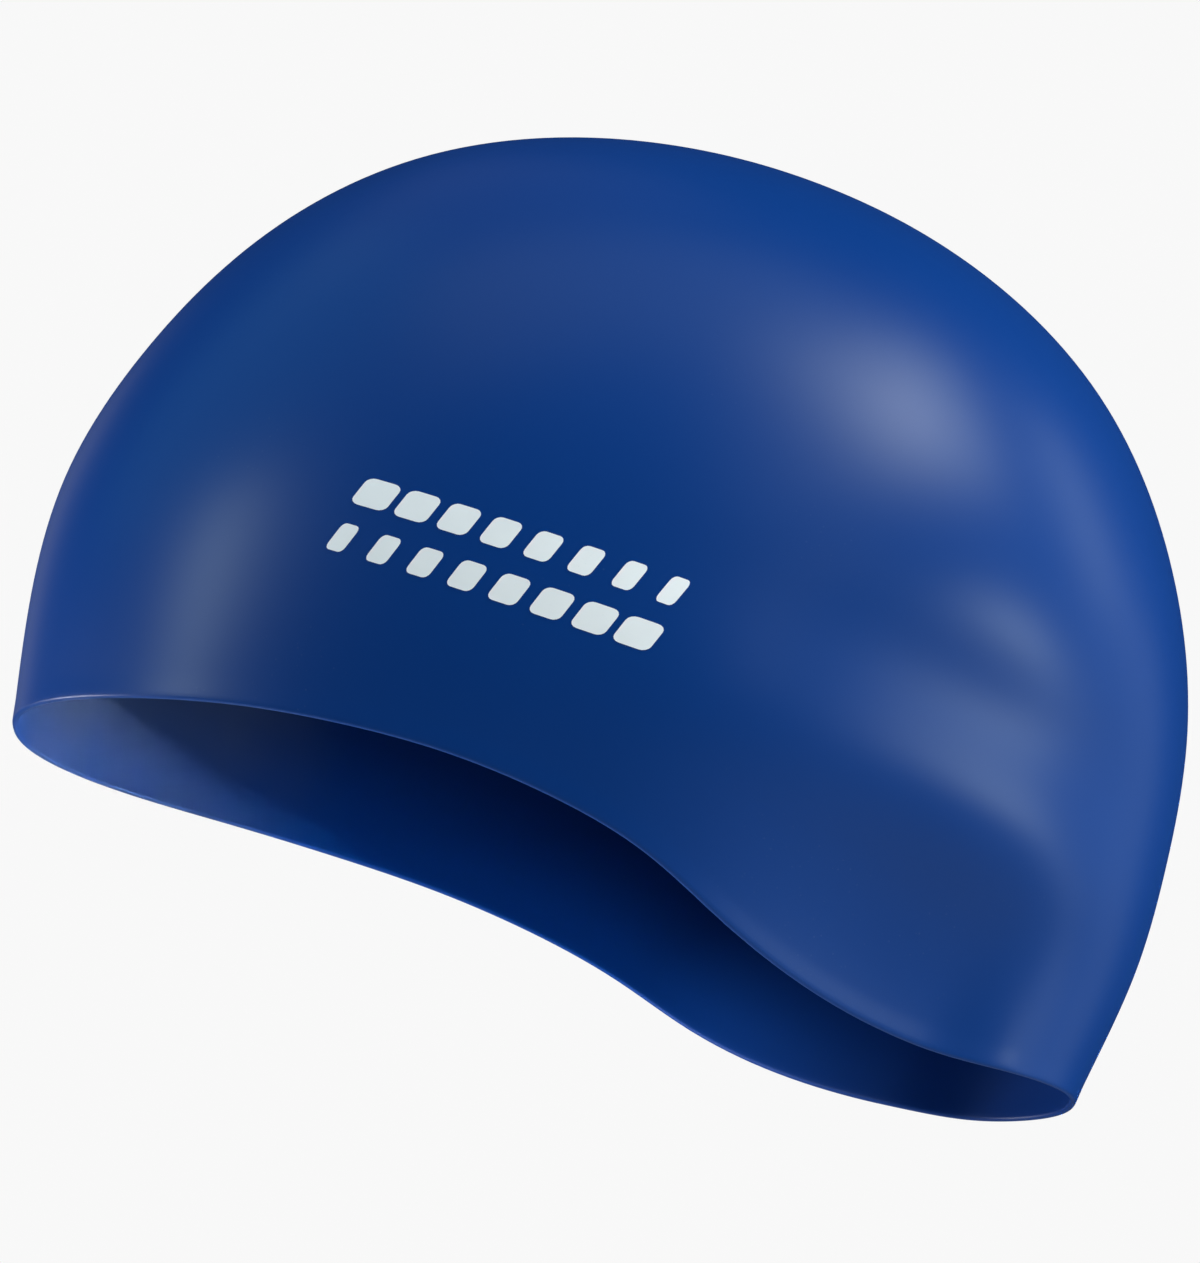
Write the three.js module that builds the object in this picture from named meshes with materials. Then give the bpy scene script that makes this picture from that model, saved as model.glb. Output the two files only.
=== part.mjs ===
// An adult's moulded silicone swim cap, in the form that a head gives it.
// Lengths are in millimetres and angles in degrees. +Z is up as worn, the brow faces -X, and the
// origin is the top of the hollow, where the crown of the head meets the inside of the cap.
import * as THREE from "three";

// Outer sizes of the cap, taken square to its rim line, which runs from brow to nape.
const capLength = 202.8;
const capWidth = 157;
const capDepth = 136;

// The rim line slopes down from the brow to the nape, as on an upright head.
const rimTilt = 19.6;

// The wall, and the thicker rounded lip that is moulded along its edge.
const wallThickness = 1;
const lipThickness = 1.2;
const lipHeight = 4;

// The rim rises over each temple and dips below the rim line behind each ear.
const templeRise = 9.2;
const earDip = 5;

// How deep the soft hollow is that runs round under the back of the head.
const hollowDepth = 1.3;

// The mesh: columns round the cap, rows from the lip to the crown, steps round the lip's edge, and
// how far apart the points lie from which the surface's direction is taken.
const columns = 72;
const bodyRows = 18;
const lipRows = 3;
const lipSteps = 4;
const turnProbe = 0.01;
const climbProbe = 0.4;

// Sections of the outer wall, from below the rim line up to the crown. up is a share of capDepth
// above the rim line. brow, nape and side are how far the section reaches forwards, backwards and
// sideways, as shares of half the length and half the width. power is 2 for an oval section and
// more for one with blunter ends. narrow draws the back half in, as a share of the section's own
// width, and release is the share of that which is let go again at the nape.
const sections = [
  { up: -0.12, brow: 0.896, nape: 0.965, side: 0.86, power: 2.3, narrow: 0.315, release: 0.35 },
  { up: 0.0, brow: 0.932, nape: 0.976, side: 0.89, power: 2.3, narrow: 0.31, release: 0.35 },
  { up: 0.18, brow: 0.984, nape: 1.0, side: 0.965, power: 2.2, narrow: 0.21, release: 0.12 },
  { up: 0.32, brow: 0.997, nape: 0.992, side: 1.0, power: 2.08, narrow: 0.1, release: 0.0 },
  { up: 0.5, brow: 0.949, nape: 0.95, side: 0.985, power: 2.0, narrow: 0.0, release: 0.0 },
  { up: 0.69, brow: 0.832, nape: 0.833, side: 0.885, power: 2.0, narrow: -0.03, release: 0.0 },
  { up: 0.85, brow: 0.638, nape: 0.648, side: 0.7, power: 2.0, narrow: -0.03, release: 0.0 },
  { up: 0.96, brow: 0.342, nape: 0.37, side: 0.4, power: 2.0, narrow: -0.02, release: 0.0 },
  { up: 1.0, brow: -0.02, nape: 0.02, side: 0.0, power: 2.0, narrow: 0.0, release: 0.0 },
];

// Shares of the way from the middle of a section to the nape: where the back half is fully drawn
// in, and where the release starts and ends.
const narrowFrom = 0.85;
const releaseFrom = 0.67;
const releaseTo = 0.95;

// The rim's wave. along runs from 0 at the brow to 1 at the nape, rise is a share of templeRise
// and dip a share of earDip.
const rimWave = [
  { along: 0.0, rise: 0.0, dip: 0.0 },
  { along: 0.1, rise: 0.36, dip: 0.0 },
  { along: 0.2, rise: 0.7, dip: 0.0 },
  { along: 0.3, rise: 0.92, dip: 0.0 },
  { along: 0.39, rise: 1.0, dip: 0.0 },
  { along: 0.49, rise: 0.87, dip: 0.0 },
  { along: 0.58, rise: 0.5, dip: 0.0 },
  { along: 0.65, rise: 0.0, dip: 0.0 },
  { along: 0.72, rise: 0.0, dip: 0.68 },
  { along: 0.83, rise: 0.0, dip: 1.0 },
  { along: 0.92, rise: 0.0, dip: 0.66 },
  { along: 1.0, rise: 0.0, dip: 0.0 },
];

// Soft dents, and swells where deep is below 0, alike on both sides. Each is centred at a turn from
// the brow in degrees and at a share of capDepth, spreads by wide and tall in the same measures,
// and is as deep as a share of hollowDepth. The swell is the bone behind the ear.
const dents = [
  { turn: 126, up: 0.37, wide: 24, tall: 0.07, deep: 0.9 },
  { turn: 130, up: 0.225, wide: 24, tall: 0.08, deep: -1.6 },
];

// A smooth curve through the given values at rising places, straight beyond its two ends.
function smoothCurve(places, values) {
  const last = places.length - 1;
  const bend = new Array(last + 1).fill(0);
  const spare = new Array(last + 1).fill(0);
  for (let i = 1; i < last; i++) {
    const before = places[i] - places[i - 1];
    const after = places[i + 1] - places[i];
    const turn = (values[i + 1] - values[i]) / after - (values[i] - values[i - 1]) / before;
    const pivot = 2 * (before + after) - before * spare[i - 1];
    spare[i] = after / pivot;
    bend[i] = (6 * turn - before * bend[i - 1]) / pivot;
  }
  for (let i = last - 1; i > 0; i--) bend[i] -= spare[i] * bend[i + 1];

  return (place) => {
    let i = 0;
    while (i < last - 1 && place > places[i + 1]) i++;
    const span = places[i + 1] - places[i];
    const slope = (values[i + 1] - values[i]) / span;
    if (place < places[0]) {
      return values[0] + (place - places[0]) * (slope - (span * bend[1]) / 6);
    }
    const fromLeft = place - places[i];
    const toRight = places[i + 1] - place;
    const sag = (bend[i] * (toRight + span) + bend[i + 1] * (fromLeft + span)) / (6 * span);
    return values[i] + slope * fromLeft - fromLeft * toRight * sag;
  };
}

// One section in millimetres, with its middle and its half length in place of brow and nape.
function sizedSection(row) {
  return {
    height: row.up * capDepth,
    middle: ((row.nape - row.brow) / 2) * (capLength / 2),
    reach: ((row.nape + row.brow) / 2) * (capLength / 2),
    side: row.side * (capWidth / 2),
    power: row.power,
    narrow: row.narrow,
    release: row.release,
  };
}

// The far side of the crown mirrors the near side, so that the wall runs over the top smoothly.
const rising = sections.map(sizedSection);
const falling = rising
  .slice(0, -1)
  .reverse()
  .map((s) => ({ ...s, reach: -s.reach, side: -s.side }));
const overTheTop = [...rising, ...falling];

// Climb is the distance up the wall, from the lowest section.
const climbs = [0];
for (let i = 1; i < overTheTop.length; i++) {
  const [a, b] = [overTheTop[i - 1], overTheTop[i]];
  climbs.push(climbs[i - 1] + Math.hypot(b.height - a.height, b.reach - a.reach));
}
const crownClimb = climbs[rising.length - 1];
const sectionCurves = {};
for (const name of Object.keys(rising[0])) {
  sectionCurves[name] = smoothCurve(climbs, overTheTop.map((s) => s[name]));
}

const rimPlaces = rimWave.map((row) => row.along);
const rimHeights = rimWave.map((row) => row.rise * templeRise - row.dip * earDip);
const rimHeight = smoothCurve(rimPlaces, rimHeights);

// A point of a section's outline, from -1 to 1 along and across the section. turn is 0 at the brow
// and half a circle at the nape.
function outlinePoint(turn, climb) {
  const power = sectionCurves.power(climb);
  const [cos, sin] = [Math.cos(turn), Math.sin(turn)];
  const radius = (Math.abs(cos) ** power + Math.abs(sin) ** power) ** (-1 / power);
  return { along: -cos * radius, across: -sin * radius };
}

// A point of the wall's plain form.
function plainPoint(turn, climb) {
  const { along, across } = outlinePoint(turn, climb);
  const letGo = THREE.MathUtils.smootherstep(along, releaseFrom, releaseTo);
  const hold = 1 - sectionCurves.release(climb) * letGo;
  const drawnIn = THREE.MathUtils.smootherstep(along, 0, narrowFrom) * hold;
  const width = sectionCurves.side(climb) * (1 - sectionCurves.narrow(climb) * drawnIn);
  return new THREE.Vector3(
    sectionCurves.middle(climb) + sectionCurves.reach(climb) * along,
    across * width,
    sectionCurves.height(climb),
  );
}

// The outward direction of a surface, from its points a short way off on each side.
function outwards(surface, turn, climb) {
  if (crownClimb - climb < climbProbe) return new THREE.Vector3(0, 0, 1);
  const round = surface(turn + turnProbe, climb).sub(surface(turn - turnProbe, climb));
  const upward = surface(turn, climb + climbProbe).sub(surface(turn, climb - climbProbe));
  return round.cross(upward).normalize();
}

// How far the dents and swells draw the wall in at a place.
function dentDepth(turn, climb) {
  const fromBrow = THREE.MathUtils.radToDeg(Math.acos(Math.cos(turn)));
  const up = sectionCurves.height(climb) / capDepth;
  let depth = 0;
  for (const dent of dents) {
    const aside = (fromBrow - dent.turn) / dent.wide;
    const above = (up - dent.up) / dent.tall;
    depth += dent.deep * hollowDepth * Math.exp(-(aside ** 2) - above ** 2);
  }
  return depth;
}

// A point of the outer wall, with its dents.
function outerPoint(turn, climb) {
  const normal = outwards(plainPoint, turn, climb);
  return plainPoint(turn, climb).addScaledVector(normal, -dentDepth(turn, climb));
}

// The climb at which the outer wall meets the rim, found by halving from a little below the lowest
// section.
function rimClimb(turn) {
  const halvings = 40;
  let low = -capDepth / 4;
  let high = crownClimb;
  for (let i = 0; i < halvings; i++) {
    const middle = (low + high) / 2;
    const wanted = rimHeight((1 + outlinePoint(turn, middle).along) / 2);
    if (sectionCurves.height(middle) < wanted) low = middle;
    else high = middle;
  }
  return low;
}

// How far the wall's faces stand from its middle surface at a distance above the edge.
function halfWall(aboveEdge) {
  const fade = THREE.MathUtils.smoothstep(aboveEdge, 0, lipHeight);
  return THREE.MathUtils.lerp(lipThickness, wallThickness, fade) / 2;
}

// A point of the wall's outer face, where face is 1, or of its inner face, where face is -1.
function wallPoint(turn, climb, edge, face) {
  const normal = outwards(outerPoint, turn, climb);
  const offset = face * halfWall(climb - edge) - wallThickness / 2;
  return outerPoint(turn, climb).addScaledVector(normal, offset);
}

// The half round that joins the two faces at the bottom of a column.
function lipPoints(turn, edge) {
  const outer = wallPoint(turn, edge, edge, 1);
  const inner = wallPoint(turn, edge, edge, -1);
  const middle = outer.clone().add(inner).divideScalar(2);
  const outward = outer.sub(middle);
  const below = outerPoint(turn, edge - climbProbe);
  const downward = below.sub(outerPoint(turn, edge)).setLength(outward.length());
  const points = [];
  for (let i = 1; i < lipSteps; i++) {
    const angle = (Math.PI * i) / lipSteps;
    const point = middle.clone().addScaledVector(outward, Math.cos(angle));
    points.push(point.addScaledVector(downward, Math.sin(angle)));
  }
  return points;
}

// One column of the wall's section: down its outer face, round the lip and up its inner face.
function columnPoints(turn) {
  const edge = rimClimb(turn) + lipThickness / 2;
  const bodyStart = edge + lipHeight;
  const climbsUp = [];
  for (let i = 0; i < lipRows; i++) {
    climbsUp.push(THREE.MathUtils.lerp(edge, bodyStart, i / lipRows));
  }
  for (let i = 0; i < bodyRows; i++) {
    climbsUp.push(THREE.MathUtils.lerp(bodyStart, crownClimb, i / bodyRows));
  }
  const outside = climbsUp.map((climb) => wallPoint(turn, climb, edge, 1));
  const inside = climbsUp.map((climb) => wallPoint(turn, climb, edge, -1));
  return [...outside.reverse(), ...lipPoints(turn, edge), ...inside];
}

// One closed shell: the columns side by side, and a fan at each face of the crown.
function shellGeometry() {
  const points = [];
  for (let c = 0; c < columns; c++) points.push(...columnPoints((2 * Math.PI * c) / columns));
  const perColumn = points.length / columns;
  const crown = outerPoint(0, crownClimb);
  const crownOutside = points.push(crown) - 1;
  const crownInside = points.push(crown.clone().setZ(crown.z - wallThickness)) - 1;

  const faces = [];
  for (let c = 0; c < columns; c++) {
    const here = c * perColumn;
    const next = ((c + 1) % columns) * perColumn;
    faces.push(crownOutside, here, next);
    for (let i = 0; i < perColumn - 1; i++) {
      faces.push(here + i, here + i + 1, next + i);
      faces.push(next + i, here + i + 1, next + i + 1);
    }
    faces.push(crownInside, next + perColumn - 1, here + perColumn - 1);
  }
  const geometry = new THREE.BufferGeometry();
  const positions = points.flatMap((p) => [p.x, p.y, p.z]);
  geometry.setAttribute("position", new THREE.Float32BufferAttribute(positions, 3));
  geometry.setIndex(faces);
  geometry.computeVertexNormals();
  return geometry;
}

const silicone = new THREE.MeshStandardMaterial({ color: 0x16408c, roughness: 0.45, metalness: 0 });
const capShell = new THREE.Mesh(shellGeometry(), silicone);
capShell.name = "cap_shell";

// The shell is tilted as worn, then set with the highest point of its hollow at the origin.
const swimCap = new THREE.Group();
const tilted = new THREE.Group();
tilted.rotation.y = THREE.MathUtils.degToRad(rimTilt);
tilted.add(capShell);
swimCap.add(tilted);

// That point lies on the middle line, between the crown and the brow, and is found by small steps.
function hollowTop() {
  const steps = 500;
  const brow = 0;
  const edge = rimClimb(brow);
  swimCap.updateMatrixWorld(true);
  const top = new THREE.Vector3(0, 0, -Infinity);
  for (let i = 0; i <= steps; i++) {
    const climb = THREE.MathUtils.lerp(edge, crownClimb, i / steps);
    const point = wallPoint(brow, climb, edge, -1).applyMatrix4(tilted.matrixWorld);
    if (point.z > top.z) top.copy(point);
  }
  return top;
}

tilted.position.sub(hollowTop());

export default swimCap;
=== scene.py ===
import math
import bpy
import numpy as np
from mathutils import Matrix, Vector


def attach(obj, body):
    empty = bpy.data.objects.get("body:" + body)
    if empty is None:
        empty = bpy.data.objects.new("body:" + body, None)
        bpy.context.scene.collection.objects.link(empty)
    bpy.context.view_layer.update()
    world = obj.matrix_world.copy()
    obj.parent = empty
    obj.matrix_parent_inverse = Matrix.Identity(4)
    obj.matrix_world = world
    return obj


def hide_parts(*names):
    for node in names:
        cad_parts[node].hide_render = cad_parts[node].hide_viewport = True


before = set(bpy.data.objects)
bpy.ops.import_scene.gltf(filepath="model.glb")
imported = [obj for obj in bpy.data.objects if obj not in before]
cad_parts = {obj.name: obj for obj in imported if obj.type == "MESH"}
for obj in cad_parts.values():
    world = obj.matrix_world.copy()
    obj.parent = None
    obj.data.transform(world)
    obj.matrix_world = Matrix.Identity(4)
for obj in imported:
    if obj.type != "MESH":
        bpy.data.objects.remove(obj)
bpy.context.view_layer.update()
scene = bpy.context.scene
print("frame loaded")

# Camera, a little below the cap and looking up under its rim. Lengths are in metres.
capCamera = {
    "aim": (0.00576, -0.0097, -0.0861),
    "right": 2.0,        # degrees that it looks to the right of +Y
    "up": 11.0,          # degrees that it looks upwards
    "distance": 1.4,
    "lens": 232.2,       # mm
}


def makeCamera():
    right = math.radians(capCamera["right"])
    up = math.radians(capCamera["up"])
    look = Vector((math.sin(right) * math.cos(up), math.cos(right) * math.cos(up), math.sin(up)))
    data = bpy.data.cameras.new("capCamera")
    data.lens = capCamera["lens"]
    data.clip_start = 0.05
    camera = bpy.data.objects.new("capCamera", data)
    camera.location = Vector(capCamera["aim"]) - look * capCamera["distance"]
    camera.rotation_euler = look.to_track_quat("-Z", "Y").to_euler()
    scene.collection.objects.link(camera)
    scene.camera = camera


makeCamera()
print("camera set")


# Small helpers for node trees, shared by the geometry and the materials.
def addNode(tree, kind, at=(0, 0), **settings):
    node = tree.nodes.new(kind)
    node.location = at
    for name, value in settings.items():
        setattr(node, name, value)
    return node


def join(tree, source, target):
    tree.links.new(source, target)


def mathNode(tree, operation, at, first, second=None, third=None):
    node = addNode(tree, "ShaderNodeMath", at, operation=operation)
    for socket, value in zip(node.inputs, (first, second, third)):
        if value is None:
            continue
        if isinstance(value, (int, float)):
            socket.default_value = value
        else:
            join(tree, value, socket)
    return node.outputs[0]


def addVectors(tree, at, first, second):
    node = addNode(tree, "ShaderNodeVectorMath", at, operation="ADD")
    join(tree, first, node.inputs[0])
    join(tree, second, node.inputs[1])
    return node.outputs["Vector"]


def scaleVector(tree, at, vector, scale):
    node = addNode(tree, "ShaderNodeVectorMath", at, operation="SCALE")
    join(tree, vector, node.inputs[0])
    if isinstance(scale, (int, float)):
        node.inputs["Scale"].default_value = scale
    else:
        join(tree, scale, node.inputs["Scale"])
    return node.outputs["Vector"]


def geometryTree(name, inputs):
    tree = bpy.data.node_groups.new(name, "GeometryNodeTree")
    tree.interface.new_socket("Geometry", in_out="INPUT", socket_type="NodeSocketGeometry")
    for label, kind in inputs:
        tree.interface.new_socket(label, in_out="INPUT", socket_type=kind)
    tree.interface.new_socket("Geometry", in_out="OUTPUT", socket_type="NodeSocketGeometry")
    return tree


def applyTree(piece, tree, values):
    modifier = piece.modifiers.new(tree.name, "NODES")
    modifier.node_group = tree
    sockets = {s.name: s.identifier for s in tree.interface.items_tree if s.in_out == "INPUT"}
    for label, value in values.items():
        modifier[sockets[label]] = value
    piece.update_tag()
    graph = bpy.context.evaluated_depsgraph_get()
    graph.update()
    finished = piece.evaluated_get(graph)
    mesh = bpy.data.meshes.new_from_object(finished, preserve_all_data_layers=True, depsgraph=graph)
    piece.modifiers.clear()
    piece.data = mesh
    mesh.name = piece.name


# The cap's form. Lengths are in metres and square to the rim line, angles in degrees.
capForm = {
    "length": 0.2028,
    "width": 0.157,
    "depth": 0.136,
    "rimTilt": 19.6,         # how far the rim line falls from brow to nape
    "wall": 0.001,
    "lip": 0.0012,           # thickness of the bead along the edge
    "lipHeight": 0.004,
    "templeRise": 0.0092,
    "earDip": 0.005,
    "hollowDepth": 0.0013,
    "narrowFrom": 0.85,      # share of the back half over which it draws in
    "releaseFrom": 0.67,     # where that starts to be let go at the nape
    "releaseTo": 0.95,
    "columns": 240,
    "bodyRows": 84,
    "lipRows": 6,
    "lipSteps": 10,
}

# Sections from below the rim line to the crown: up is a share of the depth, brow and nape of half
# the length, side of half the width; power over 2 makes the ends blunter, narrow draws the back half
# in and release is the share of that let go at the nape.
sectionNames = ("up", "brow", "nape", "side", "power", "narrow", "release")
sections = [
    (-0.12, 0.896, 0.965, 0.86, 2.3, 0.315, 0.35),
    (0.0, 0.932, 0.976, 0.89, 2.3, 0.31, 0.35),
    (0.18, 0.984, 1.0, 0.965, 2.2, 0.21, 0.12),
    (0.32, 0.997, 0.992, 1.0, 2.08, 0.1, 0.0),
    (0.5, 0.949, 0.95, 0.985, 2.0, 0.0, 0.0),
    (0.69, 0.832, 0.833, 0.885, 2.0, -0.03, 0.0),
    (0.85, 0.638, 0.648, 0.7, 2.0, -0.03, 0.0),
    (0.96, 0.342, 0.37, 0.4, 2.0, -0.02, 0.0),
    (1.0, -0.02, 0.02, 0.0, 2.0, 0.0, 0.0),
]

# The rim's wave from brow to nape: place along, rise (of templeRise), dip (of earDip).
rimWave = [
    (0.0, 0.0, 0.0), (0.1, 0.36, 0.0), (0.2, 0.7, 0.0), (0.3, 0.92, 0.0),
    (0.39, 1.0, 0.0), (0.49, 0.87, 0.0), (0.58, 0.5, 0.0), (0.65, 0.0, 0.0),
    (0.72, 0.0, 0.68), (0.83, 0.0, 1.0), (0.92, 0.0, 0.66), (1.0, 0.0, 0.0),
]

# Soft dents: turn from the brow, up, wide, tall, and depth as a share of hollowDepth. The second
# one has a negative depth, so it swells out.
dents = [
    (126, 0.37, 24, 0.07, 0.9),
    (130, 0.225, 24, 0.08, -1.6),
]


# A natural cubic curve through the given values, straight on before the first of them.
def smoothCurve(places, values):
    places = np.array(places, float)
    values = np.array(values, float)
    last = len(places) - 1
    bend = np.zeros(last + 1)
    spare = np.zeros(last + 1)
    for i in range(1, last):
        before, after = places[i] - places[i - 1], places[i + 1] - places[i]
        turn = (values[i + 1] - values[i]) / after - (values[i] - values[i - 1]) / before
        pivot = 2 * (before + after) - before * spare[i - 1]
        spare[i] = after / pivot
        bend[i] = (6 * turn - before * bend[i - 1]) / pivot
    for i in range(last - 1, 0, -1):
        bend[i] -= spare[i] * bend[i + 1]

    def curve(place):
        i = np.clip(np.searchsorted(places, place, side="left") - 1, 0, last - 1)
        span = places[i + 1] - places[i]
        slope = (values[i + 1] - values[i]) / span
        fromLeft, toRight = place - places[i], places[i + 1] - place
        sag = (bend[i] * (toRight + span) + bend[i + 1] * (fromLeft + span)) / (6 * span)
        inside = values[i] + slope * fromLeft - fromLeft * toRight * sag
        below = values[0] + (place - places[0]) * (slope - span * bend[1] / 6)
        return np.where(place < places[0], below, inside)
    return curve


def sectionCurves():
    half, side = capForm["length"] / 2, capForm["width"] / 2
    rows = [dict(zip(sectionNames, row)) for row in sections]
    rising = [{
        "height": r["up"] * capForm["depth"],
        "middle": (r["nape"] - r["brow"]) / 2 * half,
        "reach": (r["nape"] + r["brow"]) / 2 * half,
        "side": r["side"] * side,
        "power": r["power"],
        "narrow": r["narrow"],
        "release": r["release"],
    } for r in rows]
    falling = [dict(r, reach=-r["reach"], side=-r["side"]) for r in rising[-2::-1]]
    overTheTop = rising + falling      # the far side mirrors the near side
    climbs = [0.0]
    for a, b in zip(overTheTop, overTheTop[1:]):
        climbs.append(climbs[-1] + math.hypot(b["height"] - a["height"], b["reach"] - a["reach"]))
    curves = {name: smoothCurve(climbs, [r[name] for r in overTheTop]) for name in rising[0]}
    return curves, climbs[len(rising) - 1]


formCurves, crownClimb = sectionCurves()
rimHeight = smoothCurve(
    [row[0] for row in rimWave],
    [row[1] * capForm["templeRise"] - row[2] * capForm["earDip"] for row in rimWave],
)


def softStep(value, low, high):
    share = np.clip((value - low) / (high - low), 0, 1)
    return share ** 3 * (share * (6 * share - 15) + 10)


def outlinePoint(turn, climb):
    power = formCurves["power"](climb)
    cos, sin = np.cos(turn), np.sin(turn)
    radius = (np.abs(cos) ** power + np.abs(sin) ** power) ** (-1 / power)
    return -cos * radius, -sin * radius


def plainPoint(turn, climb):
    along, across = outlinePoint(turn, climb)
    letGo = softStep(along, capForm["releaseFrom"], capForm["releaseTo"])
    hold = 1 - formCurves["release"](climb) * letGo
    drawnIn = softStep(along, 0, capForm["narrowFrom"]) * hold
    width = formCurves["side"](climb) * (1 - formCurves["narrow"](climb) * drawnIn)
    x = formCurves["middle"](climb) + formCurves["reach"](climb) * along
    return np.stack([x, across * width, formCurves["height"](climb)], axis=-1)


# Small steps over the surface, in radians and metres, for its slopes.
turnProbe, climbProbe = 0.01, 0.0004


def outwards(surface, turn, climb):
    aside = surface(turn + turnProbe, climb) - surface(turn - turnProbe, climb)
    upward = surface(turn, climb + climbProbe) - surface(turn, climb - climbProbe)
    normal = np.cross(aside, upward)
    normal /= np.maximum(np.linalg.norm(normal, axis=-1, keepdims=True), 1e-12)
    atCrown = (crownClimb - climb < climbProbe)[..., None]
    return np.where(atCrown, np.array([0.0, 0.0, 1.0]), normal)


def outerPoint(turn, climb):
    fromBrow = np.degrees(np.arccos(np.clip(np.cos(turn), -1, 1)))
    up = formCurves["height"](climb) / capForm["depth"]
    depth = 0.0
    for dentTurn, dentUp, wide, tall, deep in dents:
        spread = ((fromBrow - dentTurn) / wide) ** 2 + ((up - dentUp) / tall) ** 2
        depth = depth + deep * capForm["hollowDepth"] * np.exp(-spread)
    return plainPoint(turn, climb) - outwards(plainPoint, turn, climb) * depth[..., None]


# Where the rim's wave crosses each turn, found by halving.
def rimClimb(turn):
    halvings = 40
    low = np.full_like(turn, -capForm["depth"] / 4)
    high = np.full_like(turn, crownClimb)
    for _ in range(halvings):
        middle = (low + high) / 2
        wanted = rimHeight((1 + outlinePoint(turn, middle)[0]) / 2)
        below = formCurves["height"](middle) < wanted
        low = np.where(below, middle, low)
        high = np.where(below, high, middle)
    return low


# The rim line falls towards the nape.
def tilted(vectors):
    tilt = math.radians(capForm["rimTilt"])
    cos, sin = math.cos(tilt), math.sin(tilt)
    x, y, z = vectors[..., 0], vectors[..., 1], vectors[..., 2]
    return np.stack([x * cos + z * sin, y, z * cos - x * sin], axis=-1)


# The highest point inside, where the crown of the head rests.
def hollowTop():
    samples = 501
    brow = np.zeros(samples)
    edge = rimClimb(brow)
    climb = edge + (crownClimb - edge) * np.linspace(0, 1, samples)
    inner = outerPoint(brow, climb) - outwards(outerPoint, brow, climb) * capForm["wall"]
    inner = tilted(inner)
    return inner[np.argmax(inner[:, 2])]


capSeat = hollowTop()


def sheetPoints():
    columns, bodyRows, lipRows = capForm["columns"], capForm["bodyRows"], capForm["lipRows"]
    turn = 2 * math.pi * np.arange(columns) / columns
    edge = rimClimb(turn) + capForm["lip"] / 2
    bodyStart = edge + capForm["lipHeight"]
    lipPart = edge[:, None] + capForm["lipHeight"] * np.arange(lipRows) / lipRows
    shares = np.arange(bodyRows) / bodyRows
    bodyPart = bodyStart[:, None] + (crownClimb - bodyStart[:, None]) * shares
    upwards = np.concatenate([lipPart, bodyPart], axis=1)
    steps = capForm["lipSteps"]
    paintedLightNearRim = np.repeat(edge[:, None], steps - 1, axis=1)
    climb = np.concatenate([upwards[:, ::-1], paintedLightNearRim, upwards], axis=1)
    rows = upwards.shape[1]
    lipTurn = np.concatenate([
        np.zeros(rows), math.pi * np.arange(1, steps) / steps, np.full(rows, math.pi),
    ])
    turnGrid = np.repeat(turn[:, None], climb.shape[1], axis=1)
    place = outerPoint(turnGrid, climb)
    outward = outwards(outerPoint, turnGrid, climb)
    below = outerPoint(turn, edge - climbProbe) - outerPoint(turn, edge)
    below /= np.linalg.norm(below, axis=-1, keepdims=True)
    downward = np.repeat(below[:, None, :], climb.shape[1], axis=1)
    aboveEdge = climb - edge[:, None]
    return place, outward, downward, aboveEdge, np.repeat(lipTurn[None], columns, axis=0)


# The sheet carries the cap's form, and this tree gives it its wall and the bead along its edge.
def wallTree():
    tree = geometryTree("capWall", [
        ("Wall", "NodeSocketFloat"), ("Lip", "NodeSocketFloat"),
        ("Lip Height", "NodeSocketFloat"), ("Silicone", "NodeSocketMaterial"),
    ])
    given = addNode(tree, "NodeGroupInput", (-1200, 0))
    done = addNode(tree, "NodeGroupOutput", (900, 0))

    def stored(name, kind, at):
        node = addNode(tree, "GeometryNodeInputNamedAttribute", at, data_type=kind)
        node.inputs["Name"].default_value = name
        return node.outputs["Attribute"]
    outward = stored("outward", "FLOAT_VECTOR", (-1200, -250))
    downward = stored("downward", "FLOAT_VECTOR", (-1200, -400))
    aboveEdge = stored("aboveEdge", "FLOAT", (-1200, -550))
    lipTurn = stored("lipTurn", "FLOAT", (-1200, -700))
    thick = addNode(tree, "ShaderNodeMapRange", (-900, -450), interpolation_type="SMOOTHSTEP")
    join(tree, aboveEdge, thick.inputs["Value"])
    join(tree, given.outputs["Lip Height"], thick.inputs["From Max"])
    join(tree, given.outputs["Lip"], thick.inputs["To Min"])
    join(tree, given.outputs["Wall"], thick.inputs["To Max"])
    half = mathNode(tree, "MULTIPLY", (-650, -450), thick.outputs["Result"], 0.5)
    halfWall = mathNode(tree, "MULTIPLY", (-650, -150), given.outputs["Wall"], 0.5)
    across = mathNode(tree, "COSINE", (-900, -700), lipTurn)
    down = mathNode(tree, "SINE", (-900, -850), lipTurn)
    acrossBy = mathNode(tree, "MULTIPLY", (-400, -450), across, half)
    outBy = mathNode(tree, "SUBTRACT", (-200, -350), acrossBy, halfWall)
    downBy = mathNode(tree, "MULTIPLY", (-400, -650), down, half)
    outMove = scaleVector(tree, (0, -250), outward, outBy)
    downMove = scaleVector(tree, (0, -450), downward, downBy)
    move = addVectors(tree, (200, -300), outMove, downMove)
    place = addNode(tree, "GeometryNodeSetPosition", (400, 0))
    join(tree, given.outputs["Geometry"], place.inputs["Geometry"])
    join(tree, move, place.inputs["Offset"])
    smooth = addNode(tree, "GeometryNodeSetShadeSmooth", (550, 0))
    real = addNode(tree, "GeometryNodeRealizeInstances", (650, 0))
    paint = addNode(tree, "GeometryNodeSetMaterial", (780, 0))
    join(tree, place.outputs[0], smooth.inputs[0])
    join(tree, smooth.outputs[0], real.inputs[0])
    join(tree, real.outputs[0], paint.inputs["Geometry"])
    join(tree, given.outputs["Silicone"], paint.inputs["Material"])
    join(tree, paint.outputs[0], done.inputs[0])
    return tree


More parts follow.
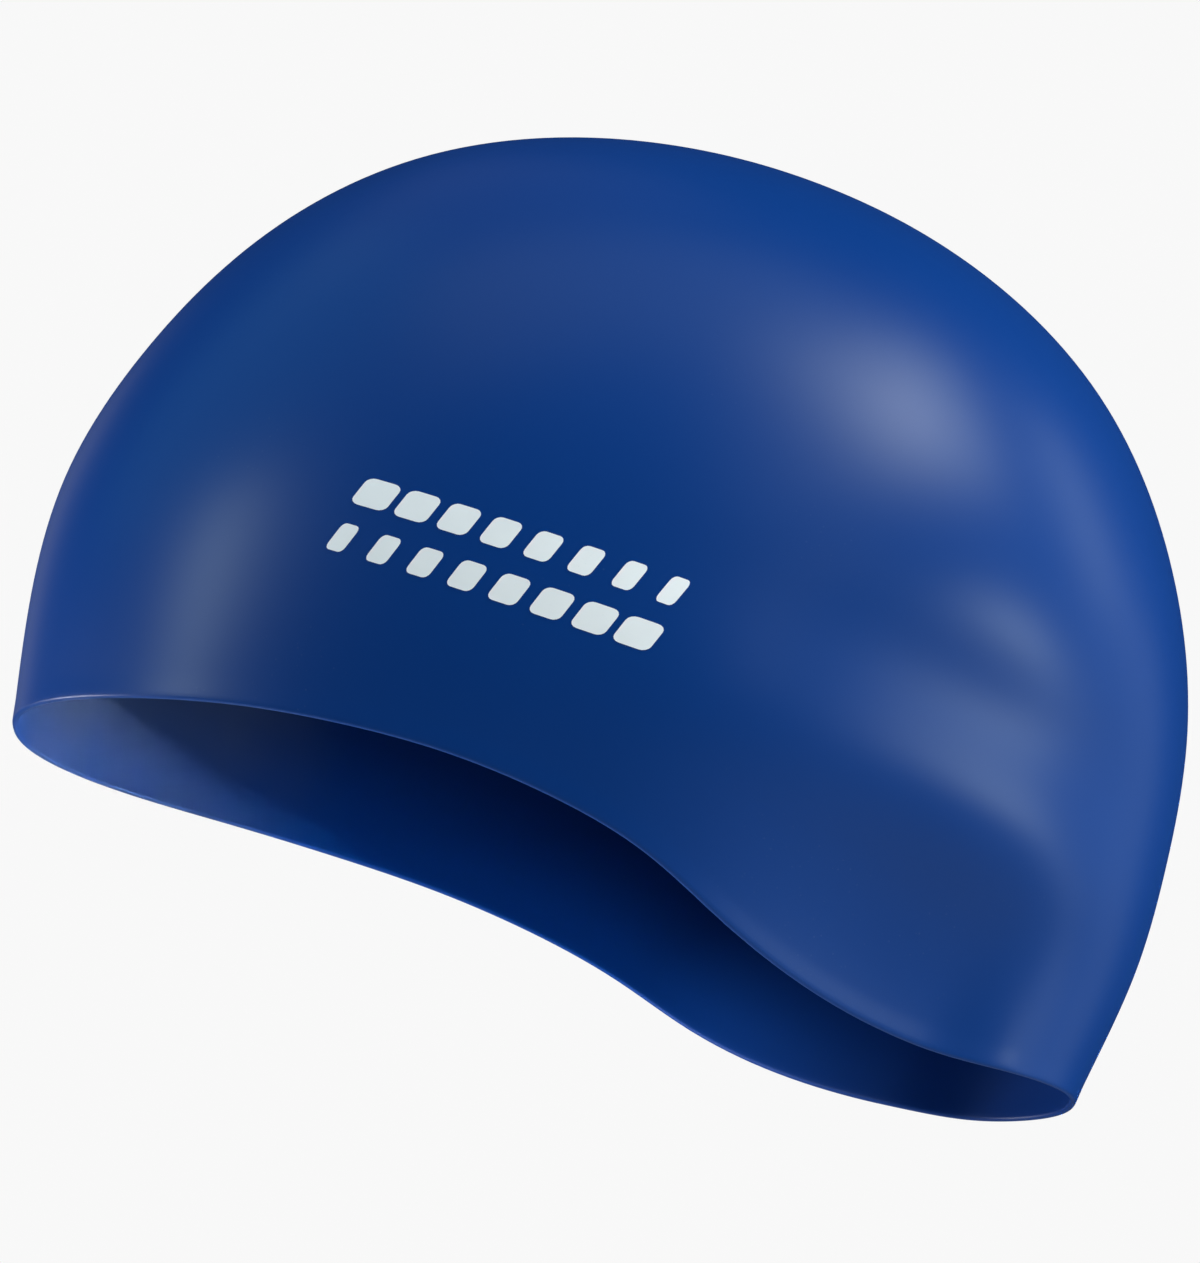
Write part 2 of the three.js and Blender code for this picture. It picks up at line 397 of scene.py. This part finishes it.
def makeCapShell(silicone):
    place, outward, downward, aboveEdge, lipTurn = sheetPoints()
    columns, perColumn = lipTurn.shape
    crown = outerPoint(np.zeros(1), np.full(1, crownClimb))
    points = np.concatenate([place.reshape(-1, 3), crown, crown])
    points = tilted(points) - capSeat
    upright = np.array([[0.0, 0.0, 1.0]] * 2)
    outward = tilted(np.concatenate([outward.reshape(-1, 3), upright]))
    downward = tilted(np.concatenate([downward.reshape(-1, 3), upright * 0]))
    aboveEdge = np.concatenate([aboveEdge.ravel(), [crownClimb] * 2])
    lipTurn = np.concatenate([lipTurn.ravel(), [0, math.pi]])
    outerCrown, innerCrown = len(points) - 2, len(points) - 1

    faces = []
    for c in range(columns):
        here, after = c * perColumn, (c + 1) % columns * perColumn
        faces.append((outerCrown, here, after))
        for i in range(perColumn - 1):
            faces.append((here + i, here + i + 1, after + i + 1, after + i))
        faces.append((innerCrown, after + perColumn - 1, here + perColumn - 1))
    mesh = bpy.data.meshes.new("capShell")
    mesh.from_pydata(points.tolist(), [], faces)
    for name, values in (("outward", outward), ("downward", downward)):
        layer = mesh.attributes.new(name, "FLOAT_VECTOR", "POINT")
        layer.data.foreach_set("vector", values.ravel())
    inward = (1 - np.cos(lipTurn)) / 2     # 0 on the outer face, 1 on the inner one
    for name, values in (("aboveEdge", aboveEdge), ("lipTurn", lipTurn), ("inward", inward)):
        layer = mesh.attributes.new(name, "FLOAT", "POINT")
        layer.data.foreach_set("value", values)
    capShell = bpy.data.objects.new("capShell", mesh)
    scene.collection.objects.link(capShell)
    applyTree(capShell, wallTree(), {
        "Wall": capForm["wall"],
        "Lip": capForm["lip"],
        "Lip Height": capForm["lipHeight"],
        "Silicone": silicone,
    })
    for name in ("outward", "downward", "lipTurn"):
        capShell.data.attributes.remove(capShell.data.attributes[name])
    return capShell


# Two rows of slanted marks, printed on the side and lying on the curved wall.
sidePrint = {
    "turn": 78.0,            # its middle, degrees from the brow
    "up": 0.305,             # its middle, share of the depth
    "rows": 2,
    "marks": 8,
    "rowLength": 0.052,      # from the first mark's middle to the last one's
    "rowGap": 0.0085,
    "markLength": 0.0047,
    "markHeight": 0.005,
    "taper": 0.34,           # how much longer or shorter the marks at a row's ends are
    "corner": 0.0011,
    "cornerSteps": 4,
    "slant": 0.35,           # how far a mark leans over for its height
    "fineness": 2,           # how often each mark's faces are split, so that it follows the curve
    "ink": 0.00014,
    "sunk": 0.00005,
    "rayStart": 0.03,        # how far off the wall each mark starts on its way inwards
    "rayLength": 0.08,
    "weld": 0.00001,
}


def printTree():
    tree = geometryTree("sidePrint", [
        ("Cap", "NodeSocketObject"), ("Middle", "NodeSocketVector"),
        ("Along", "NodeSocketVector"), ("Up", "NodeSocketVector"), ("Out", "NodeSocketVector"),
        ("Rows", "NodeSocketInt"), ("Marks", "NodeSocketInt"),
        ("Row Length", "NodeSocketFloat"), ("Row Gap", "NodeSocketFloat"),
        ("Mark Length", "NodeSocketFloat"), ("Mark Height", "NodeSocketFloat"),
        ("Taper", "NodeSocketFloat"),
        ("Corner", "NodeSocketFloat"), ("Slant", "NodeSocketFloat"),
        ("Ink", "NodeSocketFloat"), ("Sunk", "NodeSocketFloat"),
        ("Ink Finish", "NodeSocketMaterial"),
    ])
    given = addNode(tree, "NodeGroupInput", (-1800, 0))
    done = addNode(tree, "NodeGroupOutput", (1500, 0))
    mark = addNode(tree, "GeometryNodeCurvePrimitiveQuadrilateral", (-1500, 200))
    join(tree, given.outputs["Mark Length"], mark.inputs["Width"])
    join(tree, given.outputs["Mark Height"], mark.inputs["Height"])
    fillet = addNode(tree, "GeometryNodeFilletCurve", (-1300, 200), mode="POLY")
    fillet.inputs["Count"].default_value = sidePrint["cornerSteps"]
    join(tree, mark.outputs["Curve"], fillet.inputs["Curve"])
    join(tree, given.outputs["Corner"], fillet.inputs["Radius"])
    fill = addNode(tree, "GeometryNodeFillCurve", (-1100, 200), mode="NGONS")
    join(tree, fillet.outputs["Curve"], fill.inputs["Curve"])
    fine = addNode(tree, "GeometryNodeSubdivideMesh", (-900, 200))
    fine.inputs["Level"].default_value = sidePrint["fineness"]
    join(tree, fill.outputs["Mesh"], fine.inputs["Mesh"])
    grid = addNode(tree, "GeometryNodeMeshGrid", (-1500, -100))
    join(tree, given.outputs["Row Length"], grid.inputs["Size X"])
    join(tree, given.outputs["Row Gap"], grid.inputs["Size Y"])
    join(tree, given.outputs["Marks"], grid.inputs["Vertices X"])
    join(tree, given.outputs["Rows"], grid.inputs["Vertices Y"])
    spot = addNode(tree, "GeometryNodeInputPosition", (-1500, -450))
    spotParts = addNode(tree, "ShaderNodeSeparateXYZ", (-1350, -450))
    join(tree, spot.outputs["Position"], spotParts.inputs[0])
    upperRow = mathNode(tree, "SIGN", (-1200, -550), spotParts.outputs["Y"])
    fromMiddle = mathNode(tree, "DIVIDE", (-1200, -400),
                          spotParts.outputs["X"], given.outputs["Row Length"])
    fromMiddle = mathNode(tree, "MULTIPLY", (-1050, -450), fromMiddle, upperRow)
    fromMiddle = mathNode(tree, "MULTIPLY", (-1050, -300), fromMiddle, -2.0)
    stretch = mathNode(tree, "MULTIPLY_ADD", (-900, -350), fromMiddle, given.outputs["Taper"], 1.0)
    sizes = addNode(tree, "ShaderNodeCombineXYZ", (-850, -200))
    sizes.inputs["Y"].default_value = sizes.inputs["Z"].default_value = 1.0
    join(tree, stretch, sizes.inputs["X"])
    laid = addNode(tree, "GeometryNodeInstanceOnPoints", (-700, 100))
    join(tree, grid.outputs["Mesh"], laid.inputs["Points"])
    join(tree, fine.outputs["Mesh"], laid.inputs["Instance"])
    join(tree, sizes.outputs["Vector"], laid.inputs["Scale"])
    loose = addNode(tree, "GeometryNodeRealizeInstances", (-500, 100))
    join(tree, laid.outputs["Instances"], loose.inputs["Geometry"])

    # Each mark gets its thickness while it is flat, and z then stands for the height over the wall.
    raised = addNode(tree, "GeometryNodeExtrudeMesh", (-300, 200), mode="FACES")
    raised.inputs["Individual"].default_value = False
    raised.inputs["Offset"].default_value = (0, 0, 1)
    join(tree, loose.outputs["Geometry"], raised.inputs["Mesh"])
    join(tree, given.outputs["Ink"], raised.inputs["Offset Scale"])
    under = addNode(tree, "GeometryNodeFlipFaces", (-300, -50))
    join(tree, loose.outputs["Geometry"], under.inputs["Mesh"])
    both = addNode(tree, "GeometryNodeJoinGeometry", (-100, 100))
    join(tree, raised.outputs["Mesh"], both.inputs["Geometry"])
    join(tree, under.outputs["Mesh"], both.inputs["Geometry"])
    closed = addNode(tree, "GeometryNodeMergeByDistance", (50, 100))
    closed.inputs["Distance"].default_value = sidePrint["weld"]
    join(tree, both.outputs["Geometry"], closed.inputs["Geometry"])

    position = addNode(tree, "GeometryNodeInputPosition", (-700, -300))
    apart = addNode(tree, "ShaderNodeSeparateXYZ", (-500, -300))
    join(tree, position.outputs["Position"], apart.inputs[0])
    lean = mathNode(tree, "MULTIPLY", (-300, -400), apart.outputs["Y"], given.outputs["Slant"])
    x = mathNode(tree, "ADD", (-150, -350), apart.outputs["X"], lean)
    alongBy = scaleVector(tree, (0, -300), given.outputs["Along"], x)
    upBy = scaleVector(tree, (0, -450), given.outputs["Up"], apart.outputs["Y"])
    flat = addVectors(tree, (150, -350), alongBy, upBy)
    flat = addVectors(tree, (300, -350), flat, given.outputs["Middle"])
    away = scaleVector(tree, (150, -550), given.outputs["Out"], sidePrint["rayStart"])
    start = addVectors(tree, (450, -400), flat, away)
    inwards = scaleVector(tree, (300, -600), given.outputs["Out"], -1.0)
    cap = addNode(tree, "GeometryNodeObjectInfo", (300, -750))
    join(tree, given.outputs["Cap"], cap.inputs["Object"])
    ray = addNode(tree, "GeometryNodeRaycast", (650, -450), data_type="FLOAT_VECTOR")
    join(tree, cap.outputs["Geometry"], ray.inputs["Target Geometry"])
    join(tree, start, ray.inputs["Source Position"])
    join(tree, inwards, ray.inputs["Ray Direction"])
    ray.inputs["Ray Length"].default_value = sidePrint["rayLength"]
    lift = mathNode(tree, "SUBTRACT", (650, -250), apart.outputs["Z"], given.outputs["Sunk"])
    rise = scaleVector(tree, (850, -300), ray.outputs["Hit Normal"], lift)
    lying = addVectors(tree, (1000, -350), ray.outputs["Hit Position"], rise)
    place = addNode(tree, "GeometryNodeSetPosition", (1100, 100))
    join(tree, closed.outputs["Geometry"], place.inputs["Geometry"])
    join(tree, ray.outputs["Is Hit"], place.inputs["Selection"])
    join(tree, lying, place.inputs["Position"])
    real = addNode(tree, "GeometryNodeRealizeInstances", (1220, 100))
    paint = addNode(tree, "GeometryNodeSetMaterial", (1350, 100))
    join(tree, place.outputs[0], real.inputs[0])
    join(tree, real.outputs[0], paint.inputs["Geometry"])
    join(tree, given.outputs["Ink Finish"], paint.inputs["Material"])
    join(tree, paint.outputs[0], done.inputs[0])
    return tree


def makeSidePrint(capShell, ink):
    turn = np.array([math.radians(sidePrint["turn"])])
    climbs = np.linspace(0, crownClimb, 2000)
    isOver = formCurves["height"](climbs) > sidePrint["up"] * capForm["depth"]
    climb = climbs[[np.argmax(isOver)]]
    out = tilted(outwards(outerPoint, turn, climb))[0]
    aside = 0.05
    along = tilted(outerPoint(turn + aside, climb) - outerPoint(turn - aside, climb))[0]
    along -= out * np.dot(along, out)
    along /= np.linalg.norm(along)
    middle = tilted(outerPoint(turn, climb))[0] - capSeat
    printMarks = bpy.data.objects.new("sidePrint", bpy.data.meshes.new("sidePrint"))
    scene.collection.objects.link(printMarks)
    applyTree(printMarks, printTree(), {
        "Cap": capShell,
        "Middle": middle.tolist(),
        "Along": along.tolist(),
        "Up": np.cross(out, along).tolist(),
        "Out": out.tolist(),
        "Rows": sidePrint["rows"],
        "Marks": sidePrint["marks"],
        "Row Length": sidePrint["rowLength"],
        "Row Gap": sidePrint["rowGap"],
        "Mark Length": sidePrint["markLength"],
        "Mark Height": sidePrint["markHeight"],
        "Taper": sidePrint["taper"],
        "Corner": sidePrint["corner"],
        "Slant": sidePrint["slant"],
        "Ink": sidePrint["ink"],
        "Sunk": sidePrint["sunk"],
        "Ink Finish": ink,
    })
    return printMarks


# A share that rises softly from 0 at one value to 1 at the other.
def smoothShare(tree, at, value, nothing, full):
    node = addNode(tree, "ShaderNodeMapRange", at, interpolation_type="SMOOTHSTEP")
    node.inputs["From Min"].default_value = nothing
    node.inputs["From Max"].default_value = full
    join(tree, value, node.inputs["Value"])
    return node.outputs["Result"]


# Shader groups. Each reads the piece's own coordinates, in metres.
def shaderGroup(name, inputs, outputs):
    group = bpy.data.node_groups.new(name, "ShaderNodeTree")
    for label, default in inputs:
        socket = group.interface.new_socket(label, in_out="INPUT", socket_type="NodeSocketFloat")
        socket.default_value = default
    for label in outputs:
        group.interface.new_socket(label, in_out="OUTPUT", socket_type="NodeSocketFloat")
    given = addNode(group, "NodeGroupInput", (-800, 0))
    done = addNode(group, "NodeGroupOutput", (600, 0))
    coords = addNode(group, "ShaderNodeTexCoord", (-800, -250))
    return group, given, done, coords.outputs["Object"]


# Slow change of tone where the silicone cured a little thicker or thinner.
def mottleGroup():
    group, given, done, place = shaderGroup("curedMottle", [("Scale", 14.0), ("Amount", 1.0)], ["Tone"])
    noise = addNode(group, "ShaderNodeTexNoise", (-500, 0))
    noise.inputs["Detail"].default_value = 3.0
    noise.inputs["Roughness"].default_value = 0.45
    join(group, place, noise.inputs["Vector"])
    join(group, given.outputs["Scale"], noise.inputs["Scale"])
    centred = mathNode(group, "SUBTRACT", (-250, 0), noise.outputs["Fac"], 0.5)
    scaled = mathNode(group, "MULTIPLY", (-50, 0), centred, given.outputs["Amount"])
    join(group, mathNode(group, "ADD", (150, 0), scaled, 0.5), done.inputs["Tone"])
    return group


# The mould's satin texture: fine grain over a faint ripple. Height is in metres.
def grainGroup():
    inputs = [("Grain Scale", 2600.0), ("Grain", 1.0), ("Ripple Scale", 95.0), ("Ripple", 1.0)]
    group, given, done, place = shaderGroup("mouldGrain", inputs, ["Height"])
    grain = addNode(group, "ShaderNodeTexNoise", (-500, 150))
    grain.inputs["Detail"].default_value = 2.0
    ripple = addNode(group, "ShaderNodeTexNoise", (-500, -150))
    ripple.inputs["Detail"].default_value = 1.5
    join(group, place, grain.inputs["Vector"])
    join(group, place, ripple.inputs["Vector"])
    join(group, given.outputs["Grain Scale"], grain.inputs["Scale"])
    join(group, given.outputs["Ripple Scale"], ripple.inputs["Scale"])
    fine = mathNode(group, "MULTIPLY", (-200, 150), grain.outputs["Fac"], given.outputs["Grain"])
    slow = mathNode(group, "MULTIPLY", (-200, -150), ripple.outputs["Fac"], given.outputs["Ripple"])
    join(group, mathNode(group, "ADD", (50, 0), fine, slow), done.inputs["Height"])
    return group


# Specks of talc and lint, few and small. Mask is 1 on a speck.
speckForm = {
    "edge": 0.16,            # from a cell's middle, where a speck starts
    "core": 0.05,            # and where it is full
    "patchScale": 38.0,
    "patchEdge": 0.55,       # specks lie only in patches where a noise is over this
    "patchCore": 0.75,
}


def speckGroup():
    group, given, done, place = shaderGroup("talcSpecks", [("Scale", 700.0), ("Amount", 1.0)], ["Mask"])
    cells = addNode(group, "ShaderNodeTexVoronoi", (-500, 100))
    join(group, place, cells.inputs["Vector"])
    join(group, given.outputs["Scale"], cells.inputs["Scale"])
    near = smoothShare(group, (-250, 100), cells.outputs["Distance"],
                       speckForm["edge"], speckForm["core"])
    patches = addNode(group, "ShaderNodeTexNoise", (-500, -200))
    patches.inputs["Scale"].default_value = speckForm["patchScale"]
    patches.inputs["Detail"].default_value = 2.0
    join(group, place, patches.inputs["Vector"])
    where = smoothShare(group, (-250, -200), patches.outputs["Fac"],
                        speckForm["patchEdge"], speckForm["patchCore"])
    here = mathNode(group, "MULTIPLY", (0, 0), near, where)
    mask = mathNode(group, "MULTIPLY", (200, 0), here, given.outputs["Amount"])
    join(group, mask, done.inputs["Mask"])
    return group


curedMottle, mouldGrain, talcSpecks = mottleGroup(), grainGroup(), speckGroup()


def placeGroup(tree, group, at, **values):
    node = addNode(tree, "ShaderNodeGroup", at, node_tree=group)
    for label, value in values.items():
        node.inputs[label].default_value = value
    return node


def newMaterial(name):
    material = bpy.data.materials.new(name)
    material.use_nodes = True
    tree = material.node_tree
    tree.nodes.clear()
    surface = addNode(tree, "ShaderNodeBsdfPrincipled", (400, 0))
    output = addNode(tree, "ShaderNodeOutputMaterial", (700, 0))
    join(tree, surface.outputs["BSDF"], output.inputs["Surface"])
    return material, tree, surface


def addBump(tree, height, surface):
    bump = addNode(tree, "ShaderNodeBump", (100, -300))
    bump.inputs["Distance"].default_value = 1.0
    join(tree, height, bump.inputs["Height"])
    join(tree, bump.outputs["Normal"], surface.inputs["Normal"])


def mixColour(tree, at, factor, first, second):
    node = addNode(tree, "ShaderNodeMix", at, data_type="RGBA")
    join(tree, factor, node.inputs["Factor"])
    for socket, value in ((node.inputs["A"], first), (node.inputs["B"], second)):
        if isinstance(value, tuple):
            socket.default_value = (*value, 1.0)
        else:
            join(tree, value, socket)
    return node.outputs["Result"]


# Finish of the silicone, with painted light and a painted sheen on the inner face. Colours are linear.
siliconeFinish = {
    "deep": (0.001, 0.033, 0.185),
    "light": (0.002, 0.039, 0.208),
    "inside": (0.001, 0.026, 0.16),
    # painted light: the colour the inner face is painted near the rim, towards the brow
    "insideEdgePaintedLight": (0.0045, 0.106, 0.58),
    "paintedLightReach": 0.028,      # how far up from the rim the inner face is painted lighter, as painted light
    # talc's colour, used for the real specks and for a painted sheen patch inside at the brow
    "talcAndSheen": (0.16, 0.2, 0.28),
    "insideSheenPaint": 0.8,       # how strong the painted sheen inside at the brow is, in talc's colour
    "paintedSheenReach": (-0.035, -0.06),    # from back to front, where the painted sheen sets in and is full
    "paintedLightAlong": (0.075, 0.0),       # the same for the painted light along the inner edge, which fades out towards the nape
    "specks": 0.12,
    "speckRough": 0.3,
    "grain": 0.0000012,
    "ripple": 0.000012,
    "rough": 0.36,
    "roughRange": 0.05,
    "insideRough": 0.1,      # how much rougher the inner face is
    "ior": 1.41,
    "sheen": 0.25,           # 0.5 is a polished surface
}


def makeSilicone():
    material, tree, surface = newMaterial("satinSilicone")
    surface.inputs["IOR"].default_value = siliconeFinish["ior"]
    surface.inputs["Specular IOR Level"].default_value = siliconeFinish["sheen"]
    tone = placeGroup(tree, curedMottle, (-700, 200), Scale=14.0, Amount=1.0)
    inside = addNode(tree, "ShaderNodeAttribute", (-900, 0), attribute_name="inward")
    aboveEdge = addNode(tree, "ShaderNodeAttribute", (-1150, 350), attribute_name="aboveEdge")
    paintedLightNearRim = smoothShare(tree, (-900, 400), aboveEdge.outputs["Fac"], siliconeFinish["paintedLightReach"], 0.0)
    sheenPatchTone = placeGroup(tree, curedMottle, (-900, 200), Scale=22.0, Amount=1.6)
    specks = placeGroup(tree, talcSpecks, (-700, -200), Scale=700.0, Amount=siliconeFinish["specks"])
    grain = placeGroup(tree, mouldGrain, (-700, -400),
                       Grain=siliconeFinish["grain"], Ripple=siliconeFinish["ripple"])
    colour = mixColour(tree, (-400, 250), tone.outputs["Tone"],
                       siliconeFinish["deep"], siliconeFinish["light"])
    place = addNode(tree, "ShaderNodeTexCoord", (-1350, 650))
    placeParts = addNode(tree, "ShaderNodeSeparateXYZ", (-1150, 650))
    join(tree, place.outputs["Object"], placeParts.inputs[0])
    # Painted sheen: a mottled patch in talc's colour on the inner face at the brow.
    atBrow = smoothShare(tree, (-900, 700), placeParts.outputs["X"], *siliconeFinish["paintedSheenReach"])
    paintedSheen = mathNode(tree, "MULTIPLY", (-700, 650), sheenPatchTone.outputs["Tone"], siliconeFinish["insideSheenPaint"])
    paintedSheen = mathNode(tree, "MULTIPLY", (-550, 650), paintedSheen, atBrow)
    # Painted light: the inner face is painted lighter near the rim, fading out towards the nape.
    paintedLightToBrow = smoothShare(tree, (-900, 950), placeParts.outputs["X"], *siliconeFinish["paintedLightAlong"])
    paintedEdgeLight = mathNode(tree, "MULTIPLY", (-700, 850), paintedLightNearRim, paintedLightToBrow)
    inner = mixColour(tree, (-550, 450), paintedEdgeLight,
                      siliconeFinish["inside"], siliconeFinish["insideEdgePaintedLight"])
    inner = mixColour(tree, (-400, 500), paintedSheen, inner, siliconeFinish["talcAndSheen"])
    colour = mixColour(tree, (-200, 200), inside.outputs["Fac"], colour, inner)
    colour = mixColour(tree, (0, 150), specks.outputs["Mask"], colour, siliconeFinish["talcAndSheen"])
    join(tree, colour, surface.inputs["Base Color"])
    roughRange = siliconeFinish["roughRange"]
    rough = mathNode(tree, "MULTIPLY_ADD", (-400, -50), tone.outputs["Tone"],
                     roughRange, siliconeFinish["rough"] - roughRange / 2)
    rough = mathNode(tree, "MULTIPLY_ADD", (-200, -50), inside.outputs["Fac"],
                     siliconeFinish["insideRough"], rough)
    rough = mathNode(tree, "MULTIPLY_ADD", (0, -50), specks.outputs["Mask"],
                     siliconeFinish["speckRough"], rough)
    join(tree, rough, surface.inputs["Roughness"])
    addBump(tree, grain.outputs["Height"], surface)
    return material


# Finish of the printed ink.
inkFinish = {
    "white": (0.98, 0.92, 0.95),
    "worn": (0.92, 0.87, 0.9),
    "dust": (0.55, 0.58, 0.62),
    "rough": 0.5,
    "roughRange": 0.12,
    "ior": 1.43,
    "specks": 0.25,
    "grain": 0.000002,
    "ripple": 0.000003,
}


def makeInk():
    material, tree, surface = newMaterial("siliconeInk")
    surface.inputs["IOR"].default_value = inkFinish["ior"]
    tone = placeGroup(tree, curedMottle, (-700, 200), Scale=120.0, Amount=1.2)
    specks = placeGroup(tree, talcSpecks, (-700, -200), Scale=900.0, Amount=inkFinish["specks"])
    grain = placeGroup(tree, mouldGrain, (-700, -400),
                       Grain=inkFinish["grain"], Ripple=inkFinish["ripple"])
    colour = mixColour(tree, (-300, 200), tone.outputs["Tone"], inkFinish["white"], inkFinish["worn"])
    colour = mixColour(tree, (-100, 150), specks.outputs["Mask"], colour, inkFinish["dust"])
    join(tree, colour, surface.inputs["Base Color"])
    rough = mathNode(tree, "MULTIPLY_ADD", (-300, -50), tone.outputs["Tone"],
                     inkFinish["roughRange"], inkFinish["rough"] - inkFinish["roughRange"] / 2)
    join(tree, rough, surface.inputs["Roughness"])
    addBump(tree, grain.outputs["Height"], surface)
    return material


capShell = makeCapShell(makeSilicone())
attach(capShell, "root")
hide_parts("cap_shell")
print("cap shell:", len(capShell.data.polygons), "faces")

printMarks = makeSidePrint(capShell, makeInk())
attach(printMarks, "root")
print("side print:", len(printMarks.data.polygons), "faces")


# Studio: a pale floor well below the cap, soft lamps and a near-white surround.
studio = {
    "floorHeight": -0.9,
    "floorSize": 8.0,
    "floorPaint": ((0.78, 0.78, 0.77), (0.84, 0.84, 0.83)),
    "floorRough": 0.7,
    "floorTone": 0.74,       # how pale the floor is shown, apart from the light on it
    "surround": 0.02,        # light from all round
    "surroundTint": (0.9, 0.95, 1.0),
    "backdrop": 0.94,        # what the camera sees behind the cap
    "middle": (0.006, 0.0, -0.085),
}

# Lamps: direction from the cap, distance, width and height, watts, tint.
neutral, cool, sky = (1.0, 1.0, 1.0), (0.82, 1.0, 1.0), (0.25, 0.7, 1.0)
lamps = {
    "keyWide": ((0.66, -0.43, 0.62), 1.3, (0.7, 0.6), 10.4, cool),
    "keyCore": ((0.65, -0.44, 0.62), 1.3, (0.3, 0.3), 4.3, neutral),
    "rightSide": ((0.88, -0.41, -0.15), 1.1, (0.3, 0.3), 4.5, cool),
    "rightLow": ((0.86, -0.11, -0.42), 1.2, (0.35, 0.35), 0.8, cool),
    "rightBack": ((0.975, 0.2, -0.1), 1.2, (0.9, 0.8), 2.2, cool),
    "rightFar": ((0.91, 0.16, 0.38), 1.3, (0.3, 0.5), 1.8, cool),
    "front": ((0.47, -0.81, 0.34), 1.3, (0.5, 0.5), 0.8, cool),
    "frontLow": ((0.53, -0.85, 0.0), 1.3, (0.3, 0.3), 0.7, cool),
    "leftLow": ((-0.94, 0.3, -0.17), 1.2, (0.35, 0.35), 10.5, neutral),
    "leftStrip": ((-0.87, -0.38, 0.26), 1.2, (0.12, 0.6), 5.6, cool),
    "leftHigh": ((-0.7, 0.0, 0.7), 1.3, (1.0, 1.0), 2.6, sky),
    "leftBack": ((-0.48, 0.84, 0.26), 1.3, (0.4, 0.6), 0.25, neutral),
    "overhead": ((0.0, -0.42, 0.9), 1.4, (1.4, 0.8), 4.4, cool),
    "topBack": ((-0.2, 0.2, 0.96), 1.4, (1.0, 1.0), 0.6, neutral),
}

# A narrow lamp that shines in under the nape onto the inner face at the brow.
insideLamp = {
    "from": (0.45, 0.055, -0.355),
    "at": (-0.035, 0.056, -0.1),
    "size": 0.12,
    "spread": 4.5,           # degrees
    "power": 0.024,
}


def makeFloor():
    half = studio["floorSize"] / 2
    z = studio["floorHeight"]
    corners = [(-half, -half, z), (half, -half, z), (half, half, z), (-half, half, z)]
    mesh = bpy.data.meshes.new("studioFloor")
    mesh.from_pydata(corners, [], [(0, 1, 2, 3)])
    floor = bpy.data.objects.new("studioFloor", mesh)
    scene.collection.objects.link(floor)
    material = bpy.data.materials.new("floorPaint")
    material.use_nodes = True
    tree = material.node_tree
    surface = tree.nodes["Principled BSDF"]
    tone = placeGroup(tree, curedMottle, (-500, 200), Scale=3.0, Amount=0.6)
    colour = mixColour(tree, (-250, 200), tone.outputs["Tone"], *studio["floorPaint"])
    join(tree, colour, surface.inputs["Base Color"])
    surface.inputs["Roughness"].default_value = studio["floorRough"]
    rays = addNode(tree, "ShaderNodeLightPath", (-500, -100))
    pale = (studio["floorTone"],) * 3
    glow = mixColour(tree, (-250, -100), rays.outputs["Is Camera Ray"], (0.0, 0.0, 0.0), pale)
    join(tree, glow, surface.inputs["Emission Color"])
    surface.inputs["Emission Strength"].default_value = 1.0
    mesh.materials.append(material)


def placeLamp(name, place, aim, power):
    data = bpy.data.lights.new(name, "AREA")
    data.energy = power
    light = bpy.data.objects.new(name, data)
    light.location = place
    light.rotation_euler = aim.to_track_quat("-Z", "Y").to_euler()
    light.visible_camera = False
    scene.collection.objects.link(light)
    return data


def makeLamps():
    for name, (towards, distance, size, power, tint) in lamps.items():
        towards = Vector(towards).normalized()
        data = placeLamp(name, Vector(studio["middle"]) + towards * distance, -towards, power)
        data.shape = "RECTANGLE"
        data.size, data.size_y = size
        data.color = tint
    place = Vector(insideLamp["from"])
    data = placeLamp("insideLamp", place, Vector(insideLamp["at"]) - place, insideLamp["power"])
    data.size = insideLamp["size"]
    data.spread = math.radians(insideLamp["spread"])


def makeSurround():
    world = bpy.data.worlds.new("studioSurround")
    scene.world = world
    world.use_nodes = True
    tree = world.node_tree
    tree.nodes.clear()
    output = addNode(tree, "ShaderNodeOutputWorld", (400, 0))
    blend = addNode(tree, "ShaderNodeMixShader", (200, 0))
    rays = addNode(tree, "ShaderNodeLightPath", (-200, 200))
    around = addNode(tree, "ShaderNodeBackground", (-200, 0))
    behind = addNode(tree, "ShaderNodeBackground", (-200, -200))
    around.inputs["Color"].default_value = (*studio["surroundTint"], 1.0)
    around.inputs["Strength"].default_value = studio["surround"]
    behind.inputs["Strength"].default_value = studio["backdrop"]
    behind.inputs["Color"].default_value = (1.0, 1.0, 1.0, 1.0)
    join(tree, rays.outputs["Is Camera Ray"], blend.inputs["Fac"])
    join(tree, around.outputs[0], blend.inputs[1])
    join(tree, behind.outputs[0], blend.inputs[2])
    join(tree, blend.outputs[0], output.inputs["Surface"])
    scene.view_settings.view_transform = "Standard"


makeFloor()
makeLamps()
makeSurround()
print("studio lit")
